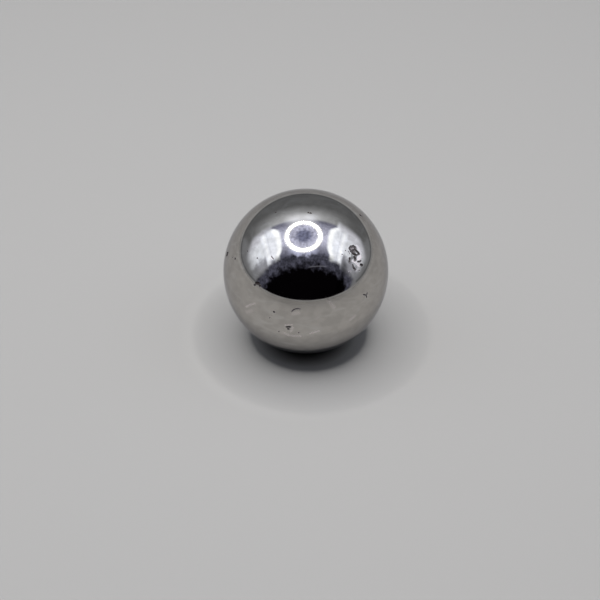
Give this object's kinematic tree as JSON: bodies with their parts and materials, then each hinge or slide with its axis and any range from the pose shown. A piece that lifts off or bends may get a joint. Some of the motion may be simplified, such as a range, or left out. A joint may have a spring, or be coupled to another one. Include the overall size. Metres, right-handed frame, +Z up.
{
  "type": "steel ball",
  "caption": "Mirror-polished solid steel ball for a bearing or a roller seat, worn, with a flaked patch and pits.",
  "frame": {"origin": "centre of the ball", "axes": "+Z up as the ball lies, -Y towards the front, and the flaked patch faces the front right from above"},
  "size_m": [0.0126, 0.0126, 0.0126],
  "materials": {
    "polished_steel": "ground and lapped to a mirror, hazed by use, with dark pits"
  },
  "bodies": {
    "root": {"ball": "polished_steel"}
  },
  "joints": []
}
